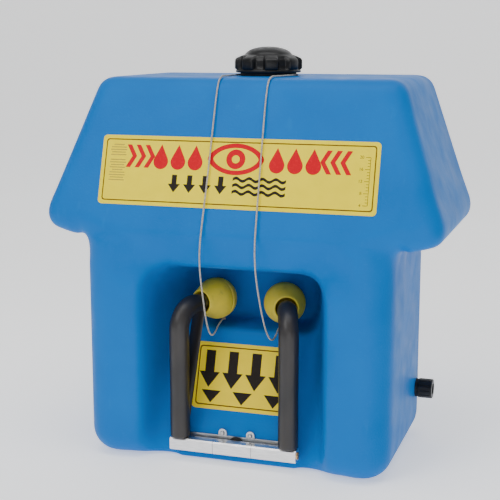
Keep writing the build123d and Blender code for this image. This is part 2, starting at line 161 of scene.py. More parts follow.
def tube(points, radius, sides):
    """Verts and faces of a capped tube."""
    points = np.asarray(points, float)
    first, second = turning_frames(points)
    angles = (np.arange(sides) * 2 * pi / sides)[None, :, None]
    ring = np.cos(angles) * first[:, None, :] + np.sin(angles) * second[:, None, :]
    verts = (points[:, None, :] + ring * radius).reshape(-1, 3)
    last = (len(points) - 1) * sides
    caps = [tuple(reversed(range(sides))), tuple(range(last, last + sides))]
    return verts, ring_faces(len(points), sides) + caps


def joined(parts):
    """One list of verts and one of faces from several."""
    verts, faces = [], []
    for part_verts, part_faces in parts:
        base = len(verts)
        verts.extend(list(part_verts))
        faces.extend(tuple(i + base for i in face) for face in part_faces)
    return verts, faces


def lathe(profile, steps, shape):
    """Verts and faces of a closed (radius, height) profile turned round Z; shape moves each point."""
    verts, faces = [], []
    for i in range(steps):
        angle = 2 * pi * i / steps
        for j, (r, z) in enumerate(profile):
            r, z = shape(j, r, z, angle)
            verts.append((r * cos(angle), r * sin(angle), z))
    count = len(profile)
    for i in range(steps):
        here, there = i * count, (i + 1) % steps * count
        for j in range(count):
            k = (j + 1) % count
            faces.append((here + j, there + j, there + k, here + k))
    return verts, faces


def merge_close(piece, distance=1e-6):
    """Join the coincident points that a closed outline leaves, and set the normals outwards."""
    work = bmesh.new()
    work.from_mesh(piece.data)
    bmesh.ops.remove_doubles(work, verts=work.verts, dist=distance)
    bmesh.ops.dissolve_degenerate(work, edges=work.edges, dist=distance)
    bmesh.ops.recalc_face_normals(work, faces=work.faces)
    work.to_mesh(piece.data)
    work.free()
    shade_smooth(piece.data)
    return piece


def shape_mesh(name, data):
    """The mesh of a curve or of text, made through an object that is then removed."""
    holder = bpy.data.objects.new(name + "_source", data)
    bpy.context.collection.objects.link(holder)
    bpy.context.view_layer.update()
    mesh = bpy.data.meshes.new_from_object(holder)
    bpy.data.objects.remove(holder)
    return mesh


# ------------------------------------------------------------------ material helpers
class Painter:
    """A principled material and short ways to add nodes to it."""

    def __init__(self, name, roughness=0.5, metallic=0.0, specular=0.5):
        self.material = bpy.data.materials.new(name)
        self.material.use_nodes = True
        self.tree = self.material.node_tree
        self.shader = self.tree.nodes["Principled BSDF"]
        self.shader.inputs["Roughness"].default_value = roughness
        self.shader.inputs["Metallic"].default_value = metallic
        self.shader.inputs["Specular IOR Level"].default_value = specular
        self.coords = self.tree.nodes.new("ShaderNodeTexCoord").outputs["Object"]
        self.height = None

    def node(self, kind, **values):
        made = self.tree.nodes.new(kind)
        for key, value in values.items():
            if key in made.inputs:
                self.feed(made.inputs[key], value)
            else:
                setattr(made, key, value)
        return made

    def feed(self, socket, value):
        if isinstance(value, bpy.types.NodeSocket):
            self.tree.links.new(value, socket)
        else:
            socket.default_value = value

    def scaled(self, stretch):
        """Object coordinates stretched by (x, y, z)."""
        mapping = self.node("ShaderNodeMapping")
        self.feed(mapping.inputs["Vector"], self.coords)
        mapping.inputs["Scale"].default_value = stretch
        return mapping.outputs["Vector"]

    def noise(self, scale, detail=3.0, roughness=0.5, stretch=None):
        made = self.node("ShaderNodeTexNoise", Scale=scale, Detail=detail, Roughness=roughness)
        self.feed(made.inputs["Vector"], self.scaled(stretch) if stretch else self.coords)
        return made.outputs["Fac"]

    def cells(self, scale):
        made = self.node("ShaderNodeTexVoronoi", Scale=scale)
        self.feed(made.inputs["Vector"], self.coords)
        return made.outputs["Distance"]

    def spread(self, value, low, high, to_low=0.0, to_high=1.0):
        """A value between low and high mapped to another range, and held inside it."""
        made = self.node("ShaderNodeMapRange")
        limits = {"From Min": low, "From Max": high, "To Min": to_low, "To Max": to_high}
        for key, number in limits.items():
            made.inputs[key].default_value = number
        self.feed(made.inputs["Value"], value)
        return made.outputs["Result"]

    def share(self, value, part):
        """A value times a number."""
        made = self.node("ShaderNodeMath")
        made.operation = "MULTIPLY"
        self.feed(made.inputs[0], value)
        self.feed(made.inputs[1], part)
        return made.outputs[0]

    def mix(self, factor, a, b):
        made = self.node("ShaderNodeMix")
        made.data_type = "RGBA"
        self.feed(made.inputs["Factor"], factor)
        self.feed(made.inputs["A"], (*a, 1) if isinstance(a, tuple) else a)
        self.feed(made.inputs["B"], (*b, 1) if isinstance(b, tuple) else b)
        return made.outputs["Result"]

    def color(self, value):
        self.feed(self.shader.inputs["Base Color"], (*value, 1) if isinstance(value, tuple) else value)

    def roughness(self, value):
        self.feed(self.shader.inputs["Roughness"], value)

    def bump(self, height, distance, strength=1.0):
        made = self.node("ShaderNodeBump", Strength=strength, Distance=distance, Height=height)
        if self.height is not None:
            self.feed(made.inputs["Normal"], self.height)
        self.height = made.outputs["Normal"]
        self.feed(self.shader.inputs["Normal"], self.height)


def moulded_blue():
    """Rotomoulded polyethylene: orange-peel grain, slow waves in gloss, faint pale scuffs."""
    deep, light = (0.000, 0.146, 0.490), (0.000, 0.162, 0.535)
    speck_blue, scuff_blue = (0.015, 0.25, 0.66), (0.02, 0.27, 0.68)
    paint = Painter("moulded_blue", roughness=0.36, specular=0.5)
    paint.shader.inputs["IOR"].default_value = 1.17
    base = paint.mix(paint.spread(paint.noise(9.0, 2.0), 0.35, 0.7), deep, light)
    specks = paint.spread(paint.noise(420.0, 2.0), 0.62, 0.72)
    base = paint.mix(paint.share(specks, 0.12), base, speck_blue)
    scuffs = paint.spread(paint.noise(60.0, 4.0, stretch=(1.0, 1.0, 0.25)), 0.66, 0.8)
    paint.color(paint.mix(paint.share(scuffs, 0.16), base, scuff_blue))
    paint.roughness(paint.spread(paint.noise(26.0, 3.0), 0.3, 0.7, 0.36, 0.50))
    paint.bump(paint.noise(300.0, 2.0, 0.55), 0.0006, 0.35)
    paint.bump(paint.noise(22.0, 2.0), 0.0035, 0.25)
    return paint.material


def black_moulding(name, tone=0.006, roughness=0.36):
    """Black moulded plastic with a fine grain and lighter wear."""
    dark, worn = (tone, tone, tone * 1.05), (tone * 2.6, tone * 2.6, tone * 2.7)
    paint = Painter(name, roughness=roughness, specular=0.35)
    wear = paint.spread(paint.noise(55.0, 4.0), 0.55, 0.75)
    paint.color(paint.mix(wear, dark, worn))
    gloss = paint.noise(90.0, 3.0)
    paint.roughness(paint.spread(gloss, 0.3, 0.7, roughness - 0.08, roughness + 0.12))
    paint.bump(paint.noise(900.0, 2.0), 0.0002, 0.5)
    return paint.material


def black_rubber():
    """Dull moulded rubber for the seals."""
    paint = Painter("black_rubber", roughness=0.75, specular=0.3)
    paint.color(paint.mix(paint.noise(120.0), (0.012, 0.012, 0.012), (0.03, 0.03, 0.03)))
    paint.bump(paint.noise(700.0), 0.0002, 0.6)
    return paint.material


def foam_black():
    """Closed-cell foam: skin with pores, faint brown mottling."""
    dark, brown, pore = (0.016, 0.0145, 0.015), (0.029, 0.024, 0.022), (0.009, 0.008, 0.008)
    paint = Painter("foam_black", roughness=0.45, specular=0.55)
    mottle = paint.spread(paint.noise(38.0, 3.0, stretch=(1, 1, 0.35)), 0.35, 0.7)
    pores = paint.spread(paint.cells(1500.0), 0.0, 0.28)
    paint.color(paint.mix(pores, pore, paint.mix(mottle, dark, brown)))
    paint.roughness(paint.spread(paint.noise(30.0, 2.0), 0.3, 0.7, 0.32, 0.46))
    paint.bump(pores, 0.0002, 0.35)
    paint.bump(paint.noise(140.0, 3.0), 0.0008, 0.3)
    return paint.material


def plug_yellow():
    """Soft mustard vinyl, uneven in colour, olive stains and small marks."""
    mustard, dull, olive = (0.74, 0.58, 0.035), (0.56, 0.455, 0.045), (0.20, 0.18, 0.04)
    paint = Painter("plug_yellow", roughness=0.48, specular=0.4)
    base = paint.mix(paint.spread(paint.noise(24.0, 3.0), 0.35, 0.68), mustard, dull)
    stains = paint.spread(paint.noise(70.0, 4.0, 0.6), 0.6, 0.78)
    paint.color(paint.mix(paint.share(stains, 0.45), base, olive))
    paint.roughness(paint.spread(paint.noise(60.0, 3.0), 0.3, 0.7, 0.4, 0.58))
    paint.bump(paint.noise(180.0, 3.0), 0.0006, 0.35)
    paint.bump(paint.noise(28.0, 2.0), 0.0015, 0.3)
    paint.shader.inputs["Subsurface Weight"].default_value = 0.12
    paint.shader.inputs["Subsurface Radius"].default_value = (0.004, 0.003, 0.001)
    return paint.material


METAL_ROUGHNESS = 0.3


def metal(name, tone):
    """Metal with fine drawn lines across the part and faint smudges."""
    paint = Painter(name, roughness=METAL_ROUGHNESS, metallic=1.0)
    lines = paint.noise(900.0, 2.0, stretch=(0.06, 1, 1))
    darker = tuple(c * 0.82 for c in tone)
    paint.color(paint.mix(paint.spread(lines, 0.35, 0.65), darker, tone))
    smudges = paint.noise(45.0, 3.0)
    paint.roughness(paint.spread(smudges, 0.3, 0.7, METAL_ROUGHNESS - 0.05, METAL_ROUGHNESS + 0.1))
    paint.bump(lines, 0.00008, 0.5)
    return paint.material


def sticker_yellow(name, tone):
    """Printed vinyl film: slightly uneven ink, faint film texture."""
    paint = Painter(name, roughness=0.4, specular=0.15)
    darker = tuple(c * 0.95 for c in tone)
    paint.color(paint.mix(paint.spread(paint.noise(40.0, 3.0), 0.35, 0.65), tone, darker))
    paint.roughness(paint.spread(paint.noise(70.0, 3.0), 0.3, 0.7, 0.3, 0.45))
    paint.bump(paint.noise(55.0, 2.0), 0.0006, 0.3)
    return paint.material


def ink(name, tone):
    """Printed ink, a little lighter in places."""
    paint = Painter(name, roughness=0.5, specular=0.12)
    lighter = tuple(min(1.0, c * 1.15 + 0.003) for c in tone)
    paint.color(paint.mix(paint.spread(paint.noise(300.0, 3.0), 0.5, 0.75), tone, lighter))
    paint.bump(paint.noise(600.0), 0.00005, 0.4)
    return paint.material


def cord_grey():
    """Twisted nylon: pale fibres with darker and warmer ones among them."""
    dark, pale, warm = (0.24, 0.215, 0.18), (0.66, 0.62, 0.55), (0.42, 0.33, 0.24)
    paint = Painter("cord_grey", roughness=0.7, specular=0.3)
    fibres = paint.noise(900.0, 3.0)
    base = paint.mix(paint.spread(fibres, 0.35, 0.65), dark, pale)
    paint.color(paint.mix(paint.spread(paint.noise(250.0), 0.55, 0.7), base, warm))
    paint.bump(fibres, 0.0002, 0.7)
    paint.shader.inputs["Sheen Weight"].default_value = 0.2
    return paint.material


MOULDED_BLUE = moulded_blue()
CAP_BLACK = black_moulding("cap_black")
FITTING_BLACK = black_moulding("fitting_black", 0.010, 0.45)
RUBBER_BLACK = black_rubber()
FOAM_BLACK = foam_black()
PLUG_YELLOW = plug_yellow()
BAR_METAL = metal("bar_metal", (0.95, 0.94, 0.94))
STEEL = metal("stainless_steel", (0.62, 0.63, 0.65))
BRASS = metal("brass", (0.78, 0.47, 0.20))
FRONT_FILM = sticker_yellow("front_film", (1.0, 0.80, 0.0))
PULL_FILM = sticker_yellow("pull_film", (1.0, 0.75, 0.02))
INK_RED = ink("ink_red", (0.62, 0.0, 0.012))
INK_BLACK = ink("ink_black", (0.02, 0.015, 0.012))
INK_BROWN = ink("ink_brown", (0.13, 0.06, 0.01))
INK_GREY = ink("ink_grey", (0.42, 0.30, 0.06))
CORD_GREY = cord_grey()

# ------------------------------------------------------------------ tether cords
CORD_D = 0.0026
CORD_LOOP_R = 0.0451                 # centre line round the neck's boss
CORD_LOOP_Z = TANK_TOP + 0.0015
CORD_START_X = 0.0012                # keeps the two sides' cords apart behind the neck
# Control points of one side's route as (x, depth, z): over the roof, at the eave, and hanging.
CORD_ROOF = [
    (CORD_LOOP_R, 0.171, CORD_LOOP_Z), (0.0424, 0.138, 0.5766), (0.0396, 0.106, 0.5770),
    (0.0382, 0.082, 0.5774), (0.0378, 0.064, 0.5650), (0.0388, 0.0328, 0.4600), (0.0410, -0.0012, 0.3540)]
CORD_EAVE = (0.0414, -0.0033, 0.3400)
CORD_HANGING = [
    (0.0418, -0.0054, 0.3260), (0.0424, -0.0020, 0.2980), (0.0432, 0.0085, 0.2680),
    (0.0442, 0.0200, 0.2400), (0.0455, 0.0330, 0.2140), (0.0468, 0.0475, 0.1960),
    (0.0476, 0.0625, 0.1875), (0.0480, 0.0785, 0.1895), (0.0480, 0.0930, 0.1980),
    (0.0476, 0.1060, 0.2015), (0.0474, 0.1160, 0.2026)]
ROUTE_STEPS = 24                     # points of the smooth curve for each control point
STRANDS, STRAND_PITCH, STRAND_STEP, STRAND_SIDES = 3, 0.0052, 0.0005, 7
STRAND_OFFSET, STRAND_R = 0.00066, 0.00066
NECK_TURNS = 4                       # control points in each quarter turn round the neck
NECK_KNOT_SIZE, EYE_KNOT_SIZE = 0.0022, 0.0026
KNOT_POINTS, KNOT_DEPTH, KNOT_CORD_R, KNOT_SIDES = 96, 1.4, 0.42 * CORD_D, 8


def neck_quarter():
    """Control points from the back of the neck round to its side, just outside the cord's circle."""
    step = pi / 2 / NECK_TURNS
    reach = CORD_LOOP_R / cos(step / 2)
    points = [(CORD_START_X, NECK_DEPTH + CORD_LOOP_R, CORD_LOOP_Z)]
    for i in range(NECK_TURNS):
        angle = pi / 2 - (i + 0.5) * step
        points.append((reach * cos(angle), NECK_DEPTH + reach * sin(angle), CORD_LOOP_Z))
    return points


def smooth_route(name, points):
    """Close points along the smooth curve that takes the given points as its control points."""
    data = bpy.data.curves.new(name, "CURVE")
    data.dimensions = "3D"
    spline = data.splines.new("NURBS")
    spline.points.add(len(points) - 1)
    for control, point in zip(spline.points, points):
        control.co = (*point, 1)
    spline.order_u = 3
    spline.use_endpoint_u = True
    spline.resolution_u = ROUTE_STEPS
    mesh = shape_mesh(name, data)
    line = np.array([v.co[:] for v in mesh.vertices])
    bpy.data.meshes.remove(mesh)
    return line


def twisted(line, turn_start=0.0):
    """Three strands wound round a line of evenly spaced points."""
    first, second = turning_frames(line)
    along = np.arange(len(line)) * STRAND_STEP
    parts = []
    for k in range(STRANDS):
        angle = turn_start + along / STRAND_PITCH * 2 * pi + k * 2 * pi / STRANDS
        offset = np.cos(angle)[:, None] * first + np.sin(angle)[:, None] * second
        parts.append(tube(line + offset * STRAND_OFFSET, STRAND_R, STRAND_SIDES))
    return joined(parts)


def add_cord(name, line, turn_start, body, replaced):
    """One piece of cord along a line."""
    piece = add_mesh(name, *twisted(line, turn_start))
    finish_piece(piece, body, CORD_GREY, replaced)
    return piece


def add_cords():
    """Each side's cord: one piece that stays on the tank, and one that hangs from it to the plug."""
    for side, name in SIDES:
        route = neck_quarter() + CORD_ROOF + [CORD_EAVE] + CORD_HANGING
        points = [place(side * x, depth, z) for x, depth, z in route]
        line = even_points(smooth_route(f"{name}_route", points), STRAND_STEP)
        eave = place(side * CORD_EAVE[0], CORD_EAVE[1], CORD_EAVE[2])
        cut = int(np.argmin(np.linalg.norm(line - np.array(eave), axis=1)))
        upper, lower = line[:cut + 1], line[cut:]
        nodes = [f"{name}_tether_upper"] + (["tether_neck_loop"] if side < 0 else [])
        add_cord(f"{name}_cord_upper", upper, 0.0, "tank", nodes)
        turn = len(upper) * STRAND_STEP / STRAND_PITCH * 2 * pi
        piece = add_cord(f"{name}_cord_hanging", lower, turn, None, [f"{name}_tether_loop"])
        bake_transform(piece)


def knot(name, centre, size, axis, body, replaced):
    """A small tied knot: a cord wound over itself as a three-lobed knot."""
    turns = np.linspace(0, 2 * pi, KNOT_POINTS, endpoint=False)
    local = np.stack([np.sin(turns) + 2 * np.sin(2 * turns), np.cos(turns) - 2 * np.cos(2 * turns),
                      -KNOT_DEPTH * np.sin(3 * turns)], axis=1) / 3 * size
    rotation = Vector((0, 0, 1)).rotation_difference(Vector(axis)).to_matrix()
    line = [rotation @ Vector(p) + Vector(centre) for p in local]
    line.append(line[0])
    piece = add_mesh(name, *tube(line, KNOT_CORD_R, KNOT_SIDES))
    finish_piece(piece, body, CORD_GREY, replaced)


def add_knots():
    behind_neck = place(0, NECK_DEPTH + CORD_LOOP_R + 0.001, TANK_TOP + CORD_D)
    knot("neck_knot", behind_neck, NECK_KNOT_SIZE, (1, 0, 0), "tank", ["tether_neck_knot"])
    for _, name in SIDES:
        low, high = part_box(f"{name}_eye_knot")
        knot(f"{name}_eye_tie", (low + high) / 2, EYE_KNOT_SIZE, (0, 1, 0.3), f"{name}_plug",
             [f"{name}_eye_knot"])


# ------------------------------------------------------------------ tank
TANK_VOXEL = 0.003
SOFT_ROUNDS, SOFTER_ROUNDS, UNDER_EAVE_ROUNDS = 14, 70, 60
TIP_OUT, TIP_DOWN = 0.0050, 0.0075   # fullness of the eaves
KEEP_SHARP = [                       # seats of the neck, drain and outlet: centre (x, depth, z), radius
    ((0, NECK_DEPTH, TANK_TOP), 0.052), ((0.236, 0.236, 0.082), 0.019), ((0, 0.038, 0.028), 0.02)]
KEEP_FADE = 0.012                    # beyond that radius, how far the softening takes to come in
LINTEL_HALF, LINTEL_LOW, LINTEL_HIGH = 0.168, 0.300, 0.350
LINTEL_SET_BACK_TOP, LINTEL_SET_BACK_LOW = 0.004, 0.024
CEILING_SOFTNESS = 0.3
# Zones of the tank as (measure, start, full): each limit's weight goes from 0 at start to 1 at full.
LINTEL_ZONE = (("across", LINTEL_HALF + 0.02, LINTEL_HALF - 0.02), ("depth", 0.045, 0.012),
               ("height", LINTEL_LOW - 0.02, LINTEL_LOW), ("height", LINTEL_HIGH, LINTEL_HIGH - 0.008))
MOUTH_ZONE = (("depth", 0.09, 0.05), ("height", 0.335, 0.315), ("across", 0.09, 0.10),
              ("across", 0.185, 0.165))
CEILING_ZONE = (("depth", 0.06, 0.03), ("across", 0.185, 0.165), ("height", 0.275, 0.29),
                ("height", 0.335, 0.325))
UNDER_EAVE_ZONE = (("across", 0.205, 0.225), ("across", 0.270, 0.250), ("height", 0.295, 0.315),
                   ("height", 0.362, 0.348))
TIP_ZONE = (("across", 0.238, 0.262), ("height", 0.322, 0.340), ("height", 0.430, 0.355))
TIP_EDGE = ("across", 0.262, 0.292)


def zone(measures, *limits):
    """How far each point lies inside a zone, from 0 to 1."""
    weight = 1.0
    for measure, start, full in limits:
        value = measures[measure]
        step = smoothstep(value, start, full) if full > start else smoothstep(-value, -start, -full)
        weight = weight * step
    return weight


def relax(points, edges, weight, rounds):
    """Move each point towards the mean of its neighbours, as far as its weight says."""
    a, b = edges[:, 0], edges[:, 1]
    size = len(points)
    count = np.bincount(np.concatenate([a, b]), minlength=size)[:, None]
    for _ in range(rounds):
        total = np.stack([np.bincount(a, points[b, k], size) + np.bincount(b, points[a, k], size)
                          for k in range(3)], axis=1)
        points = points + (total / count - points) * weight[:, None] * 0.5
    return points


def voxel_copy(name, node):
    """A copy of a CAD node rebuilt on a fine even grid, so that it can be softened."""
    piece = link_piece(name, node.data.copy())
    remesh = piece.modifiers.new("remesh", "REMESH")
    remesh.mode = "VOXEL"
    remesh.voxel_size = TANK_VOXEL
    graph = bpy.context.evaluated_depsgraph_get()
    mesh = bpy.data.meshes.new_from_object(piece.evaluated_get(graph))
    piece.modifiers.clear()
    piece.data = mesh
    return piece


def mesh_arrays(mesh):
    """A mesh's points and the two ends of each edge."""
    points = np.empty(len(mesh.vertices) * 3)
    mesh.vertices.foreach_get("co", points)
    edges = np.empty(len(mesh.edges) * 2, dtype=np.int64)
    mesh.edges.foreach_get("vertices", edges)
    return points.reshape(-1, 3), edges.reshape(-1, 2)


def softness(points):
    """How far each point may be softened: all the way, except round the fittings' seats."""
    weight = np.ones(len(points))
    for (x, depth, z), radius in KEEP_SHARP:
        far = np.linalg.norm(points - np.array(place(x, depth, z)), axis=1)
        weight *= smoothstep(far, radius, radius + KEEP_FADE)
    return weight


def softened_tank(points, edges):
    """The tank's points with edges softened as moulding does, a sloped lintel and full eaves."""
    measures = {"across": np.abs(points[:, 0]), "depth": points[:, 1] - FRONT,
                "height": points[:, 2].copy()}
    weight = softness(points)
    rise = np.clip((measures["height"] - LINTEL_LOW) / (LINTEL_HIGH - LINTEL_LOW), 0, 1)
    set_back = LINTEL_SET_BACK_LOW + (LINTEL_SET_BACK_TOP - LINTEL_SET_BACK_LOW) * rise
    points[:, 1] += zone(measures, *LINTEL_ZONE) * set_back
    points = relax(points, edges, weight, SOFT_ROUNDS)
    ceiling = zone(measures, *CEILING_ZONE) * CEILING_SOFTNESS
    mouth = np.maximum(zone(measures, *MOUTH_ZONE), ceiling)
    points = relax(points, edges, weight * mouth, SOFTER_ROUNDS)
    points = relax(points, edges, zone(measures, *UNDER_EAVE_ZONE), UNDER_EAVE_ROUNDS)
    tip = zone(measures, *TIP_ZONE)
    points[:, 0] += np.sign(points[:, 0]) * tip * zone(measures, TIP_EDGE) * TIP_OUT
    points[:, 2] -= tip * TIP_DOWN
    return points


def add_tank():
    piece = voxel_copy("tank_moulding", NODES["tank_shell"])
    points = softened_tank(*mesh_arrays(piece.data))
    piece.data.vertices.foreach_set("co", points.ravel())
    piece.data.update()
    shade_smooth(piece.data)
    finish_piece(piece, "tank", MOULDED_BLUE, ["tank_shell"])


# ------------------------------------------------------------------ cap
CAP_LOBES, CAP_STEPS = 8, 256
FLANGE_R, FLANGE_LOW, FLANGE_HIGH = 0.0505, 0.5800, 0.5846
GRIP_R, LOBE_REACH = 0.0445, 0.0078
LOBE_START, LOBE_FULL = 0.18, 0.62   # where a lobe's side starts and ends on the wave round the cap
GRIP_TOP = 0.6035
VALLEY_FROM, VALLEY_DIP = 0.602, 0.0016  # above this height the gaps between the lobes dip a little
CAP_BORE_R, CAP_CEILING = 0.0404, 0.6040
CAP_GRIP = [  # radius, height, share of the lobes' reach
    (FLANGE_R - 0.0008, FLANGE_LOW, 0), (FLANGE_R, FLANGE_LOW + 0.0008, 0), (FLANGE_R, 0.5836, 0),
    (FLANGE_R - 0.0008, FLANGE_HIGH, 0), (0.0475, 0.5849, 0.3), (0.0452, 0.5856, 0.85),
    (GRIP_R, 0.5868, 1), (GRIP_R, 0.5925, 1), (GRIP_R, 0.5975, 1), (GRIP_R - 0.0004, 0.6003, 0.93),
    (GRIP_R - 0.0010, 0.6021, 0.78), (GRIP_R - 0.0018, GRIP_TOP, 0.5), (0.0420, 0.6049, 0.2)]
CAP_DOME = [
    (0.0405, 0.6060, 0), (0.0385, 0.6070, 0), (0.0372, 0.6070, 0), (0.0362, 0.6082, 0),
    (0.0330, 0.6116, 0), (0.0280, 0.6146, 0), (0.0220, 0.6168, 0), (0.0150, 0.6183, 0),
    (0.0075, 0.6191, 0), (0.0018, 0.6193, 0)]
CAP_INSIDE = [
    (0.0018, CAP_CEILING, 0), (CAP_BORE_R - 0.001, CAP_CEILING, 0),
    (CAP_BORE_R, CAP_CEILING - 0.001, 0), (CAP_BORE_R, FLANGE_LOW + 0.0006, 0),
    (CAP_BORE_R + 0.0006, FLANGE_LOW, 0)]


def add_cap():
    profile = CAP_GRIP + CAP_DOME + CAP_INSIDE

    def lobed(j, r, z, angle):
        share = profile[j][2]
        wave = 0.5 + 0.5 * cos(CAP_LOBES * (angle + pi / CAP_LOBES))
        pulse = float(smoothstep(wave, LOBE_START, LOBE_FULL))
        return r + LOBE_REACH * share * pulse, z - VALLEY_DIP * share * (1 - pulse) * (z > VALLEY_FROM)

    verts, faces = lathe([(r, z) for r, z, _ in profile], CAP_STEPS, lobed)
    centre = place(0, NECK_DEPTH, 0)
    piece = add_mesh("cap_moulding", [Vector(v) + centre for v in verts], faces)
    merge_close(piece, 1e-7)
    finish_piece(piece, "cap", CAP_BLACK, ["fill_cap"])


# ------------------------------------------------------------------ arms
ARM_X, BAR_DEPTH, BAR_Z, BAR = 0.085, 0.022, 0.0275, 0.019
HEAD_X, HEAD_DEPTH, HEAD_Z = 0.055, 0.104, 0.237
FOAM_R, FOAM_BORE_R, ELBOW_R = 0.015, 0.0109, 0.033
FOAM_END = 0.0385                    # foam's end, measured from the plug's centre
FOAM_GAP = 0.0004                    # between the bar and the foam's foot
FOAM_TAPER, FOAM_TIP_R = 0.020, 0.0134
FOAM_ROUNDING, FOAM_ROUND_SHARE = 0.0035, 0.6
FOAM_WAVE, FOAM_WAVES_PER_M = 0.00035, 22.0
FOAM_SLACK = 0.0001                  # keeps the waves inside the CAD sleeve
FOAM_LIP = 0.0006                    # width of the flat ring at each end, next to the bore
FOAM_SIDES, FOAM_STEP, ELBOW_POINTS = 48, 0.0022, 24


def plug_axis(side):
    """Direction from an arm into its plug."""
    return (place(side * HEAD_X, HEAD_DEPTH, HEAD_Z) - place(side * ARM_X, BAR_DEPTH, HEAD_Z)).normalized()


def arm_line(side):
    """Close points along the foam's centre line: up from the bar, round the elbow, towards the plug."""
    foot = place(side * ARM_X, BAR_DEPTH, BAR_Z + BAR / 2 + FOAM_GAP)
    corner = place(side * ARM_X, BAR_DEPTH, HEAD_Z)
    axis = plug_axis(side)
    end = place(side * HEAD_X, HEAD_DEPTH, HEAD_Z) - axis * FOAM_END
    centre = corner - Vector((0, 0, ELBOW_R)) + axis * ELBOW_R
    arc = [centre - axis * ELBOW_R * cos(a) + Vector((0, 0, ELBOW_R * sin(a)))
           for a in np.linspace(0, pi / 2, ELBOW_POINTS)]
    return even_points([foot] + arc + [end], FOAM_STEP)


def foam_radius(line):
    """Foam radius along the arm: rounded ends, faint bulges, and a taper towards the plug."""
    along = np.arange(len(line)) * line_length(line) / (len(line) - 1)
    total = along[-1]
    ends = np.minimum(along, total - along)
    quarter = np.sqrt(np.maximum(FOAM_ROUNDING ** 2 - (FOAM_ROUNDING - ends) ** 2, 0))
    cut = np.where(ends < FOAM_ROUNDING, FOAM_ROUNDING - quarter, 0)
    waves = np.array([noise.noise(Vector((s * FOAM_WAVES_PER_M, 3.7, 0.0))) for s in along])
    squeeze = smoothstep(along, total - FOAM_TAPER, total) * (FOAM_R - FOAM_TIP_R)
    return FOAM_R - cut * FOAM_ROUND_SHARE - squeeze + waves * FOAM_WAVE - FOAM_SLACK


def add_foam():
    """A closed skin on each arm: the bore's edge, the flat end, the outside, and back to the bore."""
    for side, name in SIDES:
        line = arm_line(side)
        radii = foam_radius(line)
        first, second = turning_frames(line)
        start, end = line[0] - (line[1] - line[0]) * 1e-3, line[-1] + (line[-1] - line[-2]) * 1e-3
        bore = [FOAM_BORE_R, FOAM_BORE_R + FOAM_LIP]
        radii = np.concatenate([bore, radii, bore[::-1]])
        first = np.concatenate([first[:1]] * 2 + [first] + [first[-1:]] * 2)
        second = np.concatenate([second[:1]] * 2 + [second] + [second[-1:]] * 2)
        line = np.concatenate([[line[0]], [start], line, [end], [line[-1]]])
        verts = []
        for centre, radius, across, over in zip(line, radii, first, second):
            for j in range(FOAM_SIDES):
                angle = 2 * pi * j / FOAM_SIDES
                verts.append(Vector(centre) + Vector(across * cos(angle) + over * sin(angle)) * radius)
        faces = ring_faces(len(line), FOAM_SIDES, closed=True)
        piece = merge_close(add_mesh(f"{name}_foam", verts, faces))
        finish_piece(piece, "arm_assembly", FOAM_BLACK, [f"{name}_foam_sleeve"])


# ------------------------------------------------------------------ ball plugs
PLUG_R, PLUG_WALL, MOUTH_R = 0.032, 0.006, 0.0162
COLLAR_R, COLLAR_END = 0.0187, 0.037
GROOVE_AT, GROOVE_DEEP, GROOVE_WIDE = 0.003, 0.0021, 0.0010
PLUG_STEPS, BALL_POINTS, CAVITY_POINTS = 144, 120, 28
NECK_SHARES = (0.2, 0.4, 0.6, 0.8, 0.95)  # points along the neck's straight taper
LUMP, LUMPS_PER_M, LUMP_FADE_R = 0.00035, 45.0, 0.01


def plug_profile():
    """Closed (radius, axial place) outline of the hollow plug: ball, neck, rim, mouth, cavity."""
    outline = []
    reach = sqrt(COLLAR_R ** 2 + COLLAR_END ** 2)
    tangent = atan2(COLLAR_R, COLLAR_END) + acos(PLUG_R / reach)
    for angle in np.linspace(pi / 2, tangent - pi / 2, BALL_POINTS):
        axial, radius = PLUG_R * sin(angle), PLUG_R * cos(angle)
        dip = GROOVE_DEEP * np.exp(-((axial - GROOVE_AT) / GROOVE_WIDE) ** 2)
        outline.append((max(radius - dip * radius / PLUG_R, 0.0), axial - dip * axial / PLUG_R))
    rim = -COLLAR_END
    last_r, last_axial = outline[-1]
    for share in NECK_SHARES:
        outline.append((last_r + (COLLAR_R - last_r) * share, last_axial + (rim - last_axial) * share))
    outline += [(COLLAR_R - 0.0004, rim), (MOUTH_R + 0.0008, rim), (MOUTH_R, rim + 0.0008)]
    inner_r = PLUG_R - PLUG_WALL
    cavity_low = -sqrt(inner_r ** 2 - MOUTH_R ** 2)
    outline.append((MOUTH_R, cavity_low - 0.001))
    for angle in np.linspace(atan2(cavity_low, MOUTH_R), pi / 2, CAVITY_POINTS):
        outline.append((max(inner_r * cos(angle), 0.0), inner_r * sin(angle)))
    return outline


def add_plugs():
    profile = plug_profile()
    for side, name in SIDES:
        def lumpy(j, r, z, angle):
            at = Vector((r * cos(angle), r * sin(angle), z)) * LUMPS_PER_M + Vector((side * 3.0, 0, 0))
            return r + noise.noise(at) * LUMP * min(r / LUMP_FADE_R, 1), z
        verts, faces = lathe(profile, PLUG_STEPS, lumpy)
        turn = Vector((0, 0, 1)).rotation_difference(plug_axis(side)).to_matrix().to_4x4()
        moved = Matrix.Translation(place(side * HEAD_X, HEAD_DEPTH, HEAD_Z)) @ turn
        piece = merge_close(add_mesh(f"{name}_plug_ball", [moved @ Vector(v) for v in verts], faces))
        finish_piece(piece, f"{name}_plug", PLUG_YELLOW, [f"{name}_ball_plug"])


# ------------------------------------------------------------------ stickers
ROOF_SLOPE = 71.0 / 237.0            # how far the roof's front leans back for each metre of height
RECESS_SLOPE = 0.323
FILM_T, INK_T = 0.00045, 0.00007
FILM_SINK = 0.0003                   # how far a film is let into the face under it
FILM_FACE = FILM_T - FILM_SINK
BORDER_INSET = 0.0055


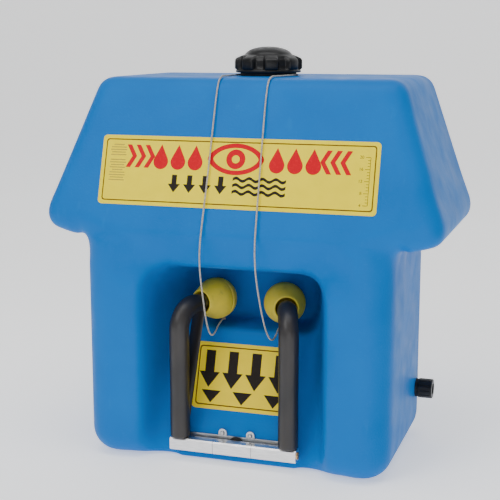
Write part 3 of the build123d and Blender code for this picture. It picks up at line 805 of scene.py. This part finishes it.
def sticker_frame(node, slope):
    """Matrix whose XY plane is a sticker's face: origin at its middle, X across, Y up the slope."""
    low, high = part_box(node)
    up = Vector((0, slope, 1)).normalized()
    out = Vector((0, -1, slope)).normalized()
    middle = (low + high) / 2
    middle.x = 0
    turn = Matrix((Vector((1, 0, 0)), up, out)).transposed().to_4x4()
    return Matrix.Translation(middle) @ turn


def sticker_size(node, slope):
    low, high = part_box(node)
    return high.x - low.x, (high.z - low.z) * sqrt(1 + slope * slope)


def tank_piece(name, mesh, matrix, material, replaced=()):
    """A piece that rides the tank, from a flat mesh that the matrix sets on its face."""
    mesh.transform(matrix)
    mesh.name = name
    return finish_piece(link_piece(name, mesh), "tank", material, replaced)


def flat_piece(name, loops, matrix, lift, thickness, material, replaced=()):
    """Flat shapes cut from outlines; an outline inside another is a hole."""
    data = bpy.data.curves.new(name, "CURVE")
    data.dimensions = "2D"
    data.fill_mode = "BOTH"
    data.extrude = thickness / 2
    for loop in loops:
        spline = data.splines.new("POLY")
        spline.points.add(len(loop) - 1)
        for control, (x, y) in zip(spline.points, loop):
            control.co = (x, y, 0, 1)
        spline.use_cyclic_u = True
    lifted = matrix @ Matrix.Translation((0, 0, lift + thickness / 2))
    return tank_piece(name, shape_mesh(name, data), lifted, material, replaced)


def round_box(cx, cy, width, height, radius, steps=8):
    """Outline of a rectangle with round corners."""
    points = []
    for k, (sx, sy) in enumerate(((1, 1), (-1, 1), (-1, -1), (1, -1))):
        for a in np.linspace(0, pi / 2, steps):
            angle = a + k * pi / 2
            points.append((cx + sx * (width / 2 - radius) + radius * cos(angle),
                           cy + sy * (height / 2 - radius) + radius * sin(angle)))
    return points


def circle(cx, cy, radius, steps=40):
    angles = [2 * pi * i / steps for i in range(steps)]
    return [(cx + radius * cos(angle), cy + radius * sin(angle)) for angle in angles]


def drop(cx, cy, height):
    """Outline of a water drop standing on its round end."""
    radius = height * 0.31
    low = cy - height / 2 + radius
    angles = np.linspace(radians(25), radians(-205), 28)
    return [(cx, cy + height / 2)] + [(cx + radius * cos(a), low + radius * sin(a)) for a in angles]


def eye(cx, cy, width):
    """Outlines of an eye: almond, white, iris ring."""
    half, rise = width / 2, width * 0.27
    across, up = 0.80, 0.72          # the white's share of the almond's width and height
    top = [(cx + half * cos(a), cy + rise * sin(a) ** 1.3) for a in np.linspace(0, pi, 24)]
    low = [(x, 2 * cy - y) for x, y in reversed(top[1:-1])]
    inside = [(cx + (x - cx) * across, cy + (y - cy) * up) for x, y in top + low]
    return [top + low, inside, circle(cx, cy, rise * 0.62), circle(cx, cy, rise * 0.26)]


def chevron(cx, cy, width, height, thick):
    """Outline of a bold chevron that points right, or left if the width is negative."""
    back, tip, high, low = cx - width / 2, cx + width / 2, cy + height / 2, cy - height / 2
    thick *= np.sign(width)
    return [(back, high), (back + thick, high), (tip, cy), (back + thick, low), (back, low),
            (tip - thick, cy)]


def down_arrow(cx, top, bottom, width, shaft, head):
    """Outline of a bold arrow that points down."""
    neck = bottom + head
    return [(cx - shaft / 2, top), (cx + shaft / 2, top), (cx + shaft / 2, neck), (cx + width / 2, neck),
            (cx, bottom), (cx - width / 2, neck), (cx - shaft / 2, neck)]


def wave_band(x0, x1, y, rise, thick, waves):
    """Outline of a wavy band of water."""
    xs = np.linspace(x0, x1, 60)
    ys = y + rise * np.sin((xs - x0) / (x1 - x0) * 2 * pi * waves)
    return list(zip(xs, ys + thick / 2)) + list(zip(xs[::-1], ys[::-1] - thick / 2))


def add_film(name, node, matrix, size, corner, line, border_corners, material):
    """A sticker's film, and the thin line printed round it."""
    width, height = size
    flat_piece(f"{name}_film", [round_box(0, 0, width, height, corner)], matrix, -FILM_SINK, FILM_T,
               material, [node])
    border = [round_box(0, 0, width - 2 * inset, height - 2 * inset, radius)
              for inset, radius in zip((BORDER_INSET, BORDER_INSET + line), border_corners)]
    flat_piece(f"{name}_border", border, matrix, FILM_FACE, INK_T, INK_BROWN)


def add_print(name, loops, matrix, material):
    flat_piece(name, loops, matrix, FILM_FACE, INK_T, material)


EYE_X, EYE_WIDTH = 0.211, 0.086      # from the sticker's left edge
RED_DOWN, RED_HEIGHT = 0.031, 0.037  # middle of the red row, from the top edge
DROP_X, DROP_PITCH = 0.062, 0.027    # from the eye's middle
CHEVRON_X, CHEVRON_PITCH, CHEVRON_WIDTH, CHEVRON_THICK = 0.134, 0.0145, 0.017, 0.0072
BLACK_DOWN, BLACK_HEIGHT = 0.070, 0.026
ARROW_X, ARROW_PITCH = 0.119, 0.024
ARROW_SHAPE = (0.019, 0.0078, 0.0125)  # width, shaft, head
WAVES_LEFT, WAVES_RIGHT, WAVES_PITCH = 0.209, 0.289, 0.0095
WAVE_SHAPE = (0.0022, 0.0044, 4)     # rise, thickness, number of waves


def add_front_sticker():
    """The roof's sticker: an eye between drops and chevrons, over arrows and waves."""
    matrix = sticker_frame("front_label", ROOF_SLOPE)
    width, height = sticker_size("front_label", ROOF_SLOPE)
    left, right, top, low = -width / 2, width / 2, height / 2, -height / 2
    add_film("front", "front_label", matrix, (width, height), 0.006, 0.0017, (0.0045, 0.0036),
             FRONT_FILM)
    centre, red_y = left + EYE_X, top - RED_DOWN
    red = eye(centre, red_y, EYE_WIDTH)
    for k in range(3):
        for sign in (-1, 1):
            red.append(drop(centre + sign * (DROP_X + DROP_PITCH * k), red_y, RED_HEIGHT))
            red.append(chevron(centre + sign * (CHEVRON_X + CHEVRON_PITCH * k), red_y,
                               sign * -CHEVRON_WIDTH, RED_HEIGHT * 0.92, CHEVRON_THICK))
    add_print("front_marks_red", red, matrix, INK_RED)
    black_y = top - BLACK_DOWN
    arrow_top, arrow_low = black_y + BLACK_HEIGHT / 2, black_y - BLACK_HEIGHT / 2
    black = [down_arrow(left + ARROW_X + k * ARROW_PITCH, arrow_top, arrow_low, *ARROW_SHAPE)
             for k in range(4)]
    black += [wave_band(left + WAVES_LEFT, left + WAVES_RIGHT, black_y + k * WAVES_PITCH, *WAVE_SHAPE)
              for k in (-1, 0, 1)]
    add_print("front_marks_black", black, matrix, INK_BLACK)
    add_dashes(matrix, left, top)
    add_scale(matrix, right, top, low)


DASH_ROWS, DASH_GAP_ROW = 15, 5
DASH_X, DASH_DOWN, DASH_PITCH, DASH_T = 0.0265, 0.0145, 0.0038, 0.0013
DASH_HALVES = (0.0085, 0.0120, 0.0130, 0.0110, 0.0125)
SCALE_IN, SCALE_TOP, SCALE_LOW = 0.0135, 0.022, 0.014
SCALE_TICKS, TICKS_PER_NUMBER = 16, 4
TICK_LONG, TICK_SHORT, TICK_T = 0.0066, 0.0034, 0.0007
SCALE_NUMBERS = ("4", "8", "12", "16", "20")
NUMBER_SIZE, NUMBER_IN = 0.0062, 0.0095


def add_dashes(matrix, left, top):
    """Rows of plain dashes at the left, where a sticker has its small print."""
    rows = [row for row in range(DASH_ROWS) if row != DASH_GAP_ROW]
    dashes = [round_box(left + DASH_X, top - DASH_DOWN - row * DASH_PITCH, 2 * DASH_HALVES[row % 5], DASH_T,
                        0.0005, 3) for row in rows]
    add_print("front_dashes", dashes, matrix, INK_GREY)


def add_scale(matrix, right, top, low):
    """A fill scale with numbers at the right."""
    x, high, low = right - SCALE_IN, top - SCALE_TOP, low + SCALE_LOW
    ticks = [round_box(x, (high + low) / 2, TICK_T, high - low, 0.0003, 3)]
    gap = (high - low) / SCALE_TICKS
    for k in range(SCALE_TICKS + 1):
        reach = TICK_SHORT if k % TICKS_PER_NUMBER else TICK_LONG
        ticks.append(round_box(x - 0.0005 - reach / 2, low + k * gap, reach, TICK_T, 0.0003, 3))
    add_print("front_scale", ticks, matrix, INK_BROWN)
    for k, number in enumerate(SCALE_NUMBERS):
        words = bpy.data.curves.new(f"scale_number_{number}", "FONT")
        words.body = number
        words.size = NUMBER_SIZE
        words.align_x, words.align_y = "RIGHT", "CENTER"
        words.extrude = INK_T / 2
        at = (x - NUMBER_IN, low + TICKS_PER_NUMBER * k * gap, FILM_FACE + INK_T / 2)
        tank_piece(f"front_scale_{number}", shape_mesh(f"number_{number}", words),
                   matrix @ Matrix.Translation(at), INK_BROWN)


PULL_ARROW_TOP, PULL_ARROW_LOW, PULL_ARROW_PITCH = 0.0125, 0.0695, 0.037
PULL_ARROW_SHAPE = (0.033, 0.0150, 0.024)
TRIANGLE_TOP, TRIANGLE_PITCH, TRIANGLE_HALF, TRIANGLE_HEIGHT = 0.0735, 0.050, 0.0155, 0.0190


def add_pull_sticker():
    """The sticker behind the arms: four bold arrows over a row of triangles."""
    matrix = sticker_frame("pull_label", RECESS_SLOPE)
    width, height = sticker_size("pull_label", RECESS_SLOPE)
    top = height / 2
    add_film("pull", "pull_label", matrix, (width, height), 0.007, 0.0019, (0.0052, 0.0042),
             PULL_FILM)
    arrow_top, arrow_low = top - PULL_ARROW_TOP, top - PULL_ARROW_LOW
    marks = [down_arrow(k * PULL_ARROW_PITCH, arrow_top, arrow_low, *PULL_ARROW_SHAPE)
             for k in (-1.5, -0.5, 0.5, 1.5)]
    y = top - TRIANGLE_TOP
    for x in (-TRIANGLE_PITCH, 0, TRIANGLE_PITCH):
        marks.append([(x - TRIANGLE_HALF, y), (x + TRIANGLE_HALF, y), (x, y - TRIANGLE_HEIGHT)])
    add_print("pull_marks", marks, matrix, INK_BLACK)


# ------------------------------------------------------------------ CAD nodes that keep their shape
KEPT = {
    RUBBER_BLACK: ["cap_gasket", "cap_vent_disc", "shaft_seals", "outlet_seal", "outlet_spacer",
                   "drain_seal", "drain_cap_washer"],
    FITTING_BLACK: ["filler_neck", "drain_fitting", "drain_nut", "outlet_nut", "outlet_strainer"],
    CAP_BLACK: ["drain_cap"],
    BAR_METAL: ["valve_block", "left_swivel", "right_swivel"],
    STEEL: ["flow_shaft", "bracket_plate", "bracket_screws", "left_arm_pipe", "right_arm_pipe",
            "left_spray_head", "right_spray_head", "left_flow_disc", "right_flow_disc",
            "left_plug_eye", "right_plug_eye"],
    BRASS: ["outlet_fitting", "left_end_screw", "right_end_screw"],
}


def paint_kept_nodes():
    """Give the CAD nodes that stay in view their materials."""
    for material, names in KEPT.items():
        for name in names:
            node = NODES[name]
            for slot in node.material_slots:
                slot.material = material


# ------------------------------------------------------------------ stage
BACKDROP_R, BACKDROP_DEPTH, BACKDROP_TOP = 1.5, 2.2, 6.0
FLOOR_FRONT, FLOOR_HALF = -7.0, 8.0
FLOOR_GLOW = 0.60                    # keeps the paper pale without more light on the part
WORLD_TINT, WORLD_STRENGTH = (0.95, 0.97, 1.0, 1), 0.34
LIGHTS = (                           # name, place, aim, size, watts
    ("key", (-1.2, -2.4, 2.2), (0, 0, 0.35), (1.4, 1.4), 28),
    ("top", (0.1, -0.5, 2.4), (0, 0, 0.4), (2.2, 1.2), 30),
    ("low_front", (0.9, -2.6, 0.5), (0, -0.15, 0.1), (1.4, 0.5), 9))


def add_area_light(name, place_at, aim, size, power):
    data = bpy.data.lights.new(name, "AREA")
    data.shape = "RECTANGLE"
    data.size, data.size_y = size
    data.energy = power
    lamp = bpy.data.objects.new(name, data)
    lamp.location = place_at
    lamp.rotation_euler = (Vector(aim) - Vector(place_at)).to_track_quat("-Z", "Y").to_euler()
    bpy.context.collection.objects.link(lamp)


def add_floor():
    """A sheet of pale paper that curves up behind the part."""
    rows = [(FLOOR_FRONT, 0.0), (BACKDROP_DEPTH, 0.0)]
    rows += [(BACKDROP_DEPTH + BACKDROP_R * sin(a), BACKDROP_R * (1 - cos(a)))
             for a in np.linspace(0.1, pi / 2, 16)]
    rows.append((BACKDROP_DEPTH + BACKDROP_R, BACKDROP_TOP))
    verts = [(x, y, z) for y, z in rows for x in (-FLOOR_HALF, FLOOR_HALF)]
    faces = [(2 * i, 2 * i + 1, 2 * i + 3, 2 * i + 2) for i in range(len(rows) - 1)]
    floor = add_mesh("floor", verts, faces)
    paint = Painter("floor_paper", roughness=0.9, specular=0.1)
    paint.color(paint.mix(paint.noise(3.0), (0.92, 0.92, 0.92), (0.94, 0.94, 0.94)))
    paint.shader.inputs["Emission Color"].default_value = (1, 1, 1, 1)
    paint.shader.inputs["Emission Strength"].default_value = FLOOR_GLOW
    floor.data.materials.append(paint.material)


def add_stage():
    add_floor()
    world = bpy.data.worlds.new("studio")
    world.use_nodes = True
    background = world.node_tree.nodes["Background"]
    background.inputs["Color"].default_value = WORLD_TINT
    background.inputs["Strength"].default_value = WORLD_STRENGTH
    bpy.context.scene.world = world
    for light in LIGHTS:
        add_area_light(*light)


add_camera()
add_cords()
add_knots()
add_tank()
add_cap()
add_foam()
add_plugs()
add_front_sticker()
add_pull_sticker()
paint_kept_nodes()
add_stage()
